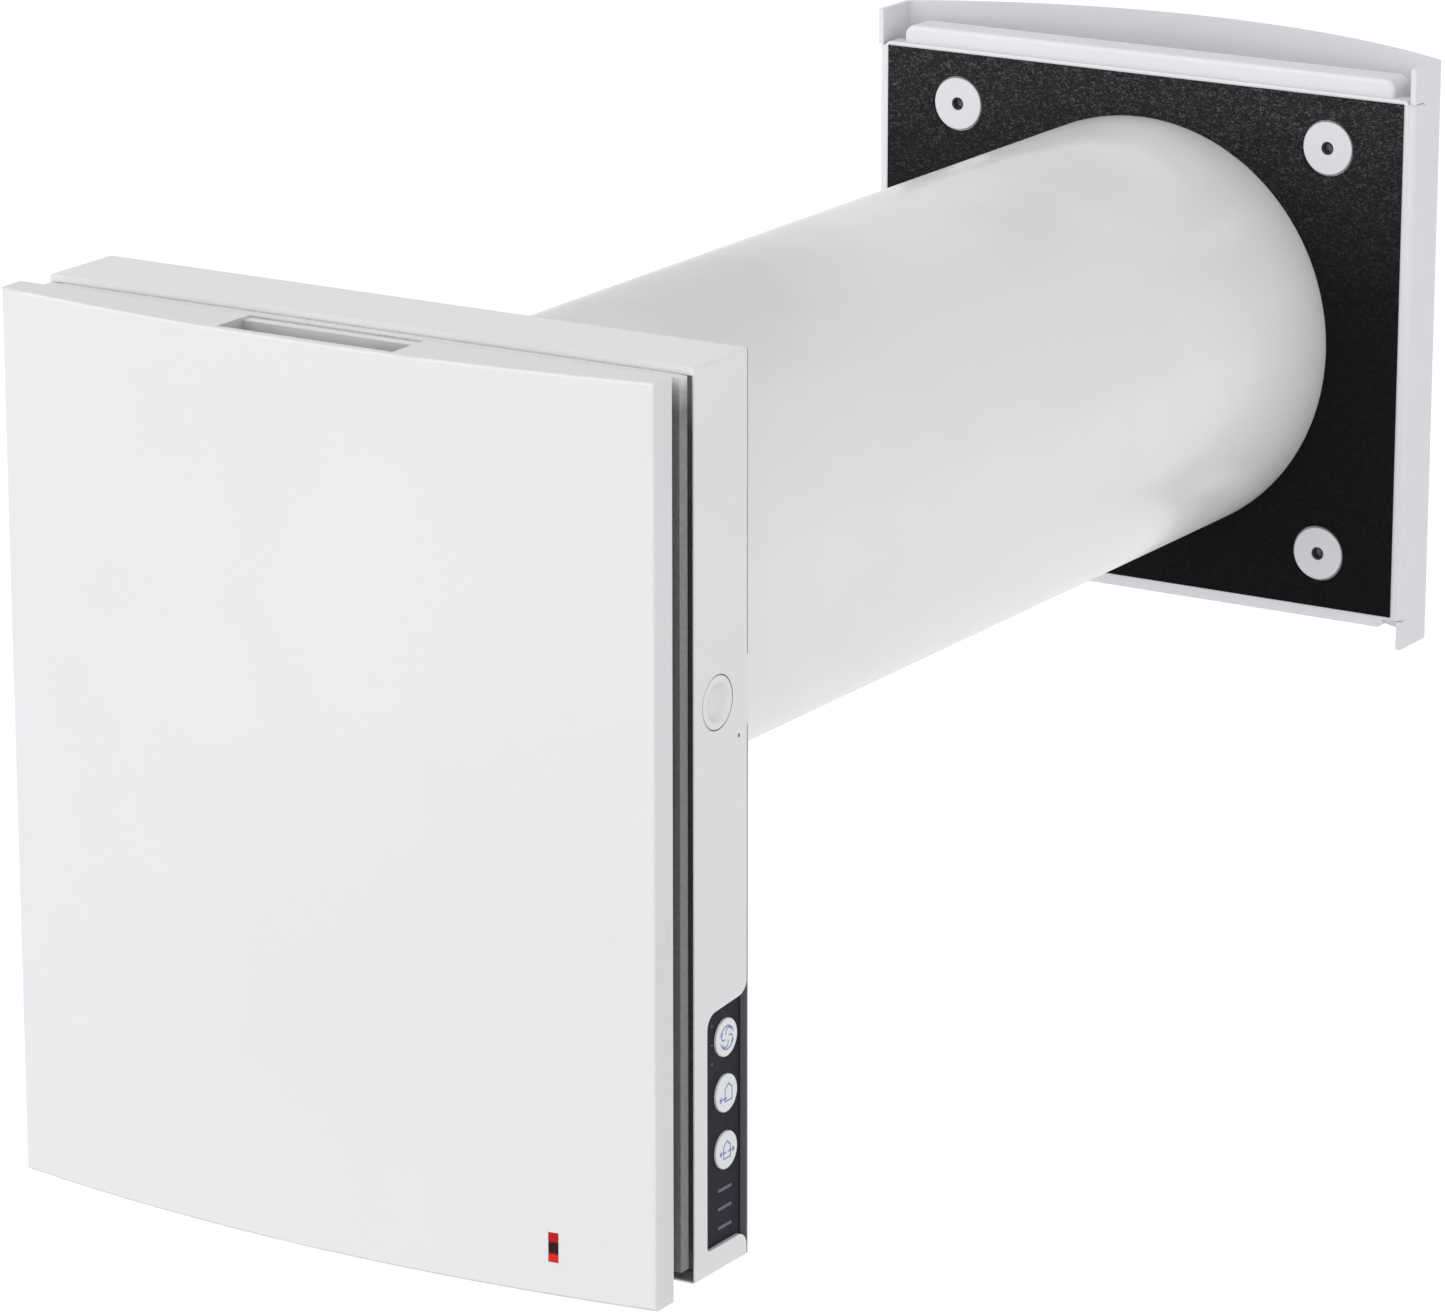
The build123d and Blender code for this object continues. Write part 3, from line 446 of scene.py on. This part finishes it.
def webbing():
    """Black woven strap."""
    m = Mat("strap_weave")
    weave = m.node("ShaderNodeTexWave", wave_type="BANDS", bands_direction="DIAGONAL")
    weave.inputs["Scale"].default_value = 500.0
    m.link(m.coord, weave.inputs["Vector"])
    m.base(m.ramp(weave.outputs["Fac"], [(0.2, grey(0.008)), (0.8, (0.04, 0.04, 0.042))]))
    m.bump(weave.outputs["Fac"], 0.8, 0.0003)
    m.set(Roughness=0.85, Sheen_Weight=0.3)
    return m.mat


def ceramic():
    """Porous fired ceramic of the heat store."""
    m = Mat("cordierite")
    pores = m.noise(900.0, 5.0)
    tones = [(0.3, (0.52, 0.44, 0.34)), (0.55, (0.68, 0.6, 0.49)), (0.8, (0.78, 0.72, 0.62))]
    m.base(m.ramp(pores, tones))
    m.bump(pores, 0.6, 0.0002)
    m.set(Roughness=0.9)
    return m.mat


def blue_ink():
    m = Mat("blue_ink")
    m.base(m.mix(m.noise(2500.0, 2.0), srgb(88, 112, 172), srgb(110, 134, 190)))
    m.set(Roughness=0.45)
    return m.mat


# ------------------------------------------------------------------ the materials of this object
PANEL_TONE = srgb(231, 232, 234)
UNIT_TONE = srgb(239, 239, 241)
HOOD_TONE = srgb(229, 229, 233)
DUCT_TONE = srgb(241, 242, 243)

# Tones by height, for the pieces that are paler or darker at one end: painted light and painted
# shade.
# Painted shade on the duct's top and painted light across its middle.
DUCT_LIGHT_AND_SHADE = [
    (-0.080, srgb(234, 235, 236)),
    (-0.013, srgb(241, 242, 243)),
    (0.024, srgb(245, 246, 247)),
    (0.054, srgb(238, 239, 240)),
    (0.080, srgb(217, 217, 218)),
]
# Painted light: the gasket is paler toward its top, lit from above.
GASKET_PAINTED_LIGHT = [
    (-0.10, srgb(20, 18, 19)),
    (0.02, srgb(24, 22, 23)),
    (0.095, srgb(41, 40, 40)),
]
# Painted shade low in the gap and painted light near the top, where light falls in from above.
LINING_LIGHT_AND_SHADE = [
    (-0.190, srgb(58, 52, 50)),
    (0.066, srgb(56, 51, 50)),
    (0.083, srgb(62, 59, 58)),
    (0.0924, srgb(98, 96, 97)),
    (0.0985, srgb(184, 183, 185)),
    (0.1005, srgb(226, 226, 228)),
]
# Painted shade low in the gap and painted light near the top, where light falls in from above.
SEAL_LIGHT_AND_SHADE = [
    (-0.190, srgb(126, 124, 121)),
    (0.050, srgb(126, 125, 124)),
    (0.083, srgb(150, 150, 151)),
    (0.0924, srgb(206, 206, 208)),
    (0.1005, srgb(240, 240, 242)),
]
# Painted light: the shutter is paler toward its top edge, where light falls in from above.
SHUTTER_PAINTED_LIGHT = [
    (-0.190, srgb(134, 134, 136)),
    (-0.172, srgb(138, 138, 140)),
    (-0.03, srgb(136, 136, 138)),
    (0.083, srgb(146, 146, 148)),
    (0.0915, srgb(138, 138, 140)),
    (0.0985, srgb(186, 186, 188)),
    (0.1018, srgb(236, 236, 238)),
]

# Painted shade in corners: the panel is shaded softly, the housing only in its narrow seams.
PANEL_SHADE = {"reach": 0.020, "painted_shade": 0.53, "open_from": 0.80}
UNIT_SHADE = {"reach": 0.0018, "painted_shade": 0.30, "dark_to": 0.05, "open_from": 0.80}
CAP_SHADE = {"reach": 0.007, "painted_shade": 0.42, "dark_to": 0.45, "open_from": 0.96}
HOOD_SHADE = {"reach": 0.006, "painted_shade": 0.70, "dark_to": 0.1, "open_from": 0.92}

PANEL_GRAIN = {"grain": 1900.0, "grain_depth": 0.00003}
DUCT_SKIN = {"grain": 3200.0, "grain_depth": 0.000006, "coat": 0.25, "wavy": 0.0}
LINING_SKIN = {"rough": 0.85, "shine": 0.02, "painted_glint": 0.3, "ior": 1.12}

mats = {
    "panel": moulded("panel_plastic", PANEL_TONE, 0.45, **PANEL_GRAIN, **PANEL_SHADE),
    "unit": moulded("housing_plastic", UNIT_TONE, 0.40, **UNIT_SHADE),
    "cap": moulded("cap_plastic", UNIT_TONE, 0.34, **CAP_SHADE),
    "hood": moulded("hood_plastic", HOOD_TONE, 0.38, **HOOD_SHADE),
    "duct": moulded("duct_plastic", DUCT_TONE, 0.36, fade=DUCT_LIGHT_AND_SHADE, **DUCT_SKIN),
    "spacer": moulded("spacer_plastic", srgb(219, 220, 223), 0.4),
    "gasket": foam("foam_skin", GASKET_PAINTED_LIGHT, 620.0, 0.0004, shine=0.06, painted_glint=1.5),
    "lining": foam("lining_foam", LINING_LIGHT_AND_SHADE, 600.0, 0.0005, **LINING_SKIN),
    "shutter": shutter_skin(SHUTTER_PAINTED_LIGHT),
    "seal": foam("seal_foam", SEAL_LIGHT_AND_SHADE, 900.0, 0.0002, rough=0.8, shine=0.02),
    "rubber": foam("seal_rubber", srgb(48, 48, 50), 1500.0, 0.0001, rough=0.6, shine=0.3),
    "steel": metal("zinc_steel", (0.62, 0.62, 0.64), 0.28),
    "brass": metal("brass", (0.80, 0.60, 0.28), 0.3),
    "bezel": moulded("bezel_plastic", srgb(74, 74, 80), 0.55),
    "black": moulded("black_plastic", (0.02, 0.02, 0.021), 0.42),
    "fan": moulded("fan_plastic", (0.03, 0.03, 0.032), 0.4),
    "motor": moulded("motor_paint", (0.05, 0.05, 0.055), 0.35, coat=0.3),
    "terminal": moulded("grey_plastic", (0.26, 0.28, 0.29), 0.45),
    "button": moulded("button_plastic", srgb(240, 242, 246), 0.35),
    "board": solder_mask((0.012, 0.09, 0.03), pad_tone=(0.72, 0.6, 0.36)),
    "fleece": fleece((0.72, 0.74, 0.74)),
    "overlay": overlay_film(),
    "pipe": light_pipe(),
    "window": red_window(),
    "strap": webbing(),
    "ceramic": ceramic(),
    "ink": blue_ink(),
}

made_of = {
    "panel": ["front_panel"],
    "unit": ["back_plate", "housing"],
    "cap": ["side_cap"],
    "hood": ["hood_base", "hood_cover"],
    "duct": ["duct_tube"],
    "spacer": ["hood_spacers"],
    "gasket": ["hood_gasket"],
    "lining": ["panel_foam"],
    "shutter": ["shutter_plate"],
    "seal": ["housing_lining", "shutter_seal"],
    "rubber": ["heat_store_sleeve"],
    "steel": ["guide_posts", "lock_screw", "cover_screws", "insect_screen"],
    "brass": ["shutter_pin", "shutter_actuator"],
    "bezel": ["control_bezel"],
    "overlay": ["control_overlay"],
    "pipe": ["light_guides"],
    "board": ["control_board", "main_board", "humidity_sensor"],
    "black": ["key_switches", "power_supply", "signal_receiver"],
    "terminal": ["terminal_block"],
    "button": ["button_speed", "button_supply", "button_recovery"],
    "window": ["indicator_window"],
    "strap": ["pull_strap"],
    "fleece": ["room_filter", "outdoor_filter"],
    "fan": ["finger_guard", "fan_frame", "fan_impeller"],
    "motor": ["fan_motor"],
    "ceramic": ["heat_store"],
}
for look, names in made_of.items():
    for node_name in names:
        slots = nodes[node_name].data.materials
        slots.clear()
        slots.append(mats[look])


# ------------------------------------------------------------------ mesh helpers
def piece(name, bm, mat, body, smooth=False):
    mesh = bpy.data.meshes.new(name)
    bm.to_mesh(mesh)
    bm.free()
    obj = bpy.data.objects.new(name, mesh)
    scene.collection.objects.link(obj)
    mesh.materials.append(mat)
    if smooth:
        for poly in mesh.polygons:
            poly.use_smooth = True
    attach(obj, body)
    return obj


def swept_strip(section, place, steps=60):
    """Closed strip along X; place(t, number, y, z) puts a section point at t from -1 to 1."""
    bm = bmesh.new()
    rows = []
    for k in range(steps + 1):
        t = 2.0 * k / steps - 1.0
        rows.append([bm.verts.new(place(t, n, y, z)) for n, (y, z) in enumerate(section)])
    for a, b in zip(rows[:-1], rows[1:]):
        for n in range(len(section)):
            w = (n + 1) % len(section)
            bm.faces.new((a[n], b[n], b[w], a[w]))
    bm.faces.new(rows[0])
    bm.faces.new(rows[-1][::-1])
    bmesh.ops.recalc_face_normals(bm, faces=bm.faces)
    return bm


def ring_solid(bm, cx, cz, profile, sides=40):
    """Turned solid about the line along Y through (cx, cz), from a closed (radius, y) profile."""
    rows = []
    for k in range(sides):
        t = 2 * math.pi * k / sides
        ring = [(cx + r * math.cos(t), y, cz + r * math.sin(t)) for r, y in profile]
        rows.append([bm.verts.new(point) for point in ring])
    count = len(profile)
    for k in range(sides):
        here, after = rows[k], rows[(k + 1) % sides]
        for i in range(count):
            j = (i + 1) % count
            bm.faces.new((here[i], here[j], after[j], after[i]))


# ------------------------------------------------------------------ hood gasket, and bushings of painted shade
SCREW_INSET = 0.0106  # from the outline of the four washers to their axes
WASHER_POCKET_R = 0.01062
DUCT_HOLE_R = 0.0801
GASKET_CELL = 0.0011
PIT_DEPTH = 0.00032


def screw_axes(lo, hi):
    """The (x, z) of the four washers, from the box round them."""
    wide = (lo.x + SCREW_INSET, hi.x - SCREW_INSET)
    tall = (lo.z + SCREW_INSET, hi.z - SCREW_INSET)
    return [(x, z) for x in wide for z in tall]


def pitted_gasket():
    """Slab with the gasket's outline and holes, and small cell-like pits in its wall face."""
    lo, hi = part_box("hood_gasket")
    cap_lo, cap_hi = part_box("hood_spacers")
    holes = [(0.0, 0.0, DUCT_HOLE_R)]
    holes += [(x, z, WASHER_POCKET_R) for x, z in screw_axes(cap_lo, cap_hi)]
    nx = int((hi.x - lo.x) / GASKET_CELL)
    nz = int((hi.z - lo.z) / GASKET_CELL)
    xs = np.linspace(lo.x, hi.x, nx + 1)
    zs = np.linspace(lo.z, hi.z, nz + 1)

    def nearest_hole(x, z):
        """Distance to the nearest hole's edge (negative inside it), and that hole."""
        return min((math.hypot(x - cx, z - cz) - r, cx, cz, r) for cx, cz, r in holes)

    # The cells outside the holes, and how many of them meet at each grid point.
    cells = []
    used = {}
    for i in range(nx):
        for j in range(nz):
            if nearest_hole((xs[i] + xs[i + 1]) / 2, (zs[j] + zs[j + 1]) / 2)[0] > 0:
                loop = [(i, j), (i + 1, j), (i + 1, j + 1), (i, j + 1)]
                cells.append(loop)
                for k in loop:
                    used[k] = used.get(k, 0) + 1

    # Points at a hole move onto its circle and stay level; the others are sunk by the pits.
    bm = bmesh.new()
    front, rear = {}, {}
    for (i, j), count in used.items():
        x, z = float(xs[i]), float(zs[j])
        border = min(i, j, nx - i, nz - j)
        gap, cx, cz, r = nearest_hole(x, z)
        on_hole = count < 4 and border > 0
        if on_hole:
            scale = r / (gap + r)
            x, z = cx + (x - cx) * scale, cz + (z - cz) * scale
        p = Vector((x, 0.0, z))
        pit = 0.5 + 0.5 * noise.noise(p * 620.0) + 0.35 * noise.noise(p * 240.0)
        calm = min(1.0, border / 3.0 + 0.2) * (0.0 if on_hole else 1.0)
        depth = PIT_DEPTH * min(1.0, max(0.0, pit)) * calm
        front[i, j] = bm.verts.new((x, lo.y + depth, z))
        rear[i, j] = bm.verts.new((x, hi.y, z))
    for loop in cells:
        bm.faces.new([front[k] for k in loop])
        bm.faces.new([rear[k] for k in reversed(loop)])

    # Side walls along every open edge.
    partner = {front[k]: rear[k] for k in front}
    for e in [e for e in bm.edges if len(e.link_faces) == 1]:
        if e.verts[0] in partner:
            corner = e.link_loops[0]
            first, second = corner.vert, corner.link_loop_next.vert
            bm.faces.new((second, first, partner[first], partner[second]))
    skin = piece("gasket_skin", bm, mats["gasket"], "base")
    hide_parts("hood_gasket")


def hole_shade_bushings():
    """Dark rubber bushings in the screw holes of the washers: painted shade for the dark depth of
    the holes.
    """
    lo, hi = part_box("hood_spacers")
    face = lo.y + 0.00012
    bore, crest, outside, length = 0.00165, 0.0021, 0.00247, 0.0020
    profile = [
        (bore, face + 0.0004),
        (crest, face),
        (outside, face + 0.0001),
        (outside, face + length),
        (bore, face + length),
    ]
    bm = bmesh.new()
    for x, z in screw_axes(lo, hi):
        ring_solid(bm, x, z, profile)
    bmesh.ops.recalc_face_normals(bm, faces=bm.faces)
    piece("hole_shade_bushings", bm, mats["rubber"], "base", smooth=True)


# ------------------------------------------------------------------ foam strips on the housing, with painted shade and painted light
FACE_GAP = 0.00004  # how far the strips stay behind the front edge of the housing


def rim_shade_tape():
    """Dark foam tape on the slope inside the bottom rim, with a slightly uneven upper edge: its
    grey is painted shade inside the rim.
    """
    lo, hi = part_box("housing")
    section = [
        (FACE_GAP, 0.00056),
        (0.0039, 0.00246),
        (0.0039, 0.00272),
        (0.0030, 0.00272),
        (0.0007, 0.00150),
        (FACE_GAP, 0.00110),
    ]
    first_upper = 3

    def place(t, n, y, z):
        lift = 0.00006 * noise.noise(Vector((t * 36.0, 0.0, 0.0))) if n >= first_upper else 0.0
        return t * (hi.x - 0.00056 - 0.5 * y), lo.y + y, lo.z + z + lift

    piece("rim_shade_tape", swept_strip(section, place), mats["seal"], "base")


def top_light_strip():
    """Pale foam strip under the top rim: its pale tone is painted light that covers the thin line
    of shade above the shutter.
    """
    lo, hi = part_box("housing")
    under = hi.z - 0.00254  # just below the rim's 2.5 mm wall
    deep, tall = 0.0018, 0.0006
    section = [(0.0, 0.0), (deep, 0.0), (deep, -tall), (0.0003, -tall), (0.0, -0.0004)]
    reach = hi.x - 0.0045

    def place(t, n, y, z):
        sag = 0.00005 * noise.noise(Vector((t * 31.0, 4.0, 0.0))) if z < 0 else 0.0
        return t * reach, lo.y + FACE_GAP + y, under + z + sag

    piece("top_light_strip", swept_strip(section, place), mats["seal"], "base")


pitted_gasket()
rim_shade_tape()
top_light_strip()
hole_shade_bushings()

# ------------------------------------------------------------------ printed marks on the buttons
LINE_WIDTH = 0.42 * MM
INK_UNDER = 0.00002  # how far the marks reach into the button
INK_OVER = 0.00003
INK_STAGGER = 0.000004  # strokes that meet differ in height, so that their faces don't coincide


def stroke(bm, points, face_x, steps=8):
    """A printed line on the side face: round-ended bands through the (y, z) points."""
    for number, ((ya, za), (yb, zb)) in enumerate(zip(points[:-1], points[1:])):
        top = face_x + INK_OVER + (number % 3) * INK_STAGGER
        angle = math.atan2(zb - za, yb - ya)
        ring = []
        for y, z, start in ((ya, za, angle + math.pi / 2), (yb, zb, angle - math.pi / 2)):
            for k in range(steps + 1):
                a = start + math.pi * k / steps
                ring.append((y + LINE_WIDTH / 2 * math.cos(a), z + LINE_WIDTH / 2 * math.sin(a)))
        low = [bm.verts.new((face_x - INK_UNDER, y, z)) for y, z in ring]
        high = [bm.verts.new((top, y, z)) for y, z in ring]
        bm.faces.new(high)
        bm.faces.new(low[::-1])
        for i in range(len(ring)):
            j = (i + 1) % len(ring)
            bm.faces.new((low[i], low[j], high[j], high[i]))


def icon(name, node, body, lines):
    """Pictogram on a button; lines are (y, z) points in millimetres from the button's centre."""
    lo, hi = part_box(node)
    cy, cz = (lo.y + hi.y) / 2, (lo.z + hi.z) / 2
    bm = bmesh.new()
    for line in lines:
        stroke(bm, [(cy + y * MM, cz + z * MM) for y, z in line], hi.x)
    piece(name, bm, mats["ink"], body)


def house(left, right):
    foot, eaves = -2.6, 1.4
    ridge = ((left + right) / 2, 3.1)
    walls = [(left, foot), (left, eaves), ridge, (right, eaves), (right, foot)]
    return [walls + walls[:1]]


def arrow(tail, tip, z, head):
    neck = tip + math.copysign(head, tail - tip)
    shaft = [(min(tail, tip), z), (max(tail, tip), z)]
    return [shaft, [(neck, z + head), (tip, z), (neck, z - head)]]


def arc(cy, cz, radius, start, end, steps=10):
    angles = [math.radians(start + (end - start) * k / steps) for k in range(steps + 1)]
    return [(cy + radius * math.cos(a), cz + radius * math.sin(a)) for a in angles]


def fan():
    """Two arcs of the ring and four half-round blades, in pairs on opposite sides."""
    lines = [arc(0, 0, 3.9, 20, 160), arc(0, 0, 3.9, 200, 340)]
    for cy, cz, radius, start in ((0.9, 1.6, 1.6, 200), (-1.9, 0.8, 1.4, 300)):
        lines.append(arc(cy, cz, radius, start, start - 180, 8))
        lines.append(arc(-cy, -cz, radius, start - 180, start - 360, 8))
    return lines


supply = house(-1.2, 3.0) + arrow(-0.2, -4.3, -1.6, 0.9)
recovery = house(-2.0, 2.0) + arrow(-0.6, -4.2, -0.6, 0.8) + arrow(0.6, 4.2, -0.6, 0.8)
icon("mark_supply", "button_supply", "supply_button", supply)
icon("mark_recovery", "button_recovery", "recovery_button", recovery)
icon("mark_speed", "button_speed", "speed_button", fan())

# ------------------------------------------------------------------ floor
FLOOR_HALF = 9.0
FLOOR_Z = -0.62
BACKDROP_RUN = (-0.5255, 0.8508, 0.0)  # across the floor, from the front to the back
SWEEP_START, SWEEP_END = 0.15, 0.8


def paper():
    """White paper sweep: plain pale grey in front of the object, glowing a little behind it."""
    m = Mat("floor_paper")
    run = m.node("ShaderNodeVectorMath", operation="DOT_PRODUCT")
    run.inputs[1].default_value = BACKDROP_RUN
    m.link(m.coord, run.inputs[0])
    behind = m.remap(run.outputs["Value"], 0.0, 1.0, SWEEP_START, SWEEP_END)
    m.base(m.mix(behind, grey(0.78), grey(0.95)))
    glow = m.remap(run.outputs["Value"], 0.0, 0.28, SWEEP_START, SWEEP_END)
    m.link(glow, m.bsdf.inputs["Emission Strength"])
    m.bump(m.noise(400.0, 3.0), 0.1, 0.0003)
    m.set(Roughness=0.9, Specular_IOR_Level=0.1, Emission_Color=(1.0, 1.0, 1.0, 1.0))
    return m.mat


def paper_floor():
    bm = bmesh.new()
    bmesh.ops.create_grid(bm, x_segments=8, y_segments=8, size=FLOOR_HALF)
    mesh = bpy.data.meshes.new("floor")
    bm.to_mesh(mesh)
    bm.free()
    obj = bpy.data.objects.new("floor", mesh)
    scene.collection.objects.link(obj)
    obj.location = (0, 0, FLOOR_Z)
    mesh.materials.append(paper())
    return obj


floor = paper_floor()
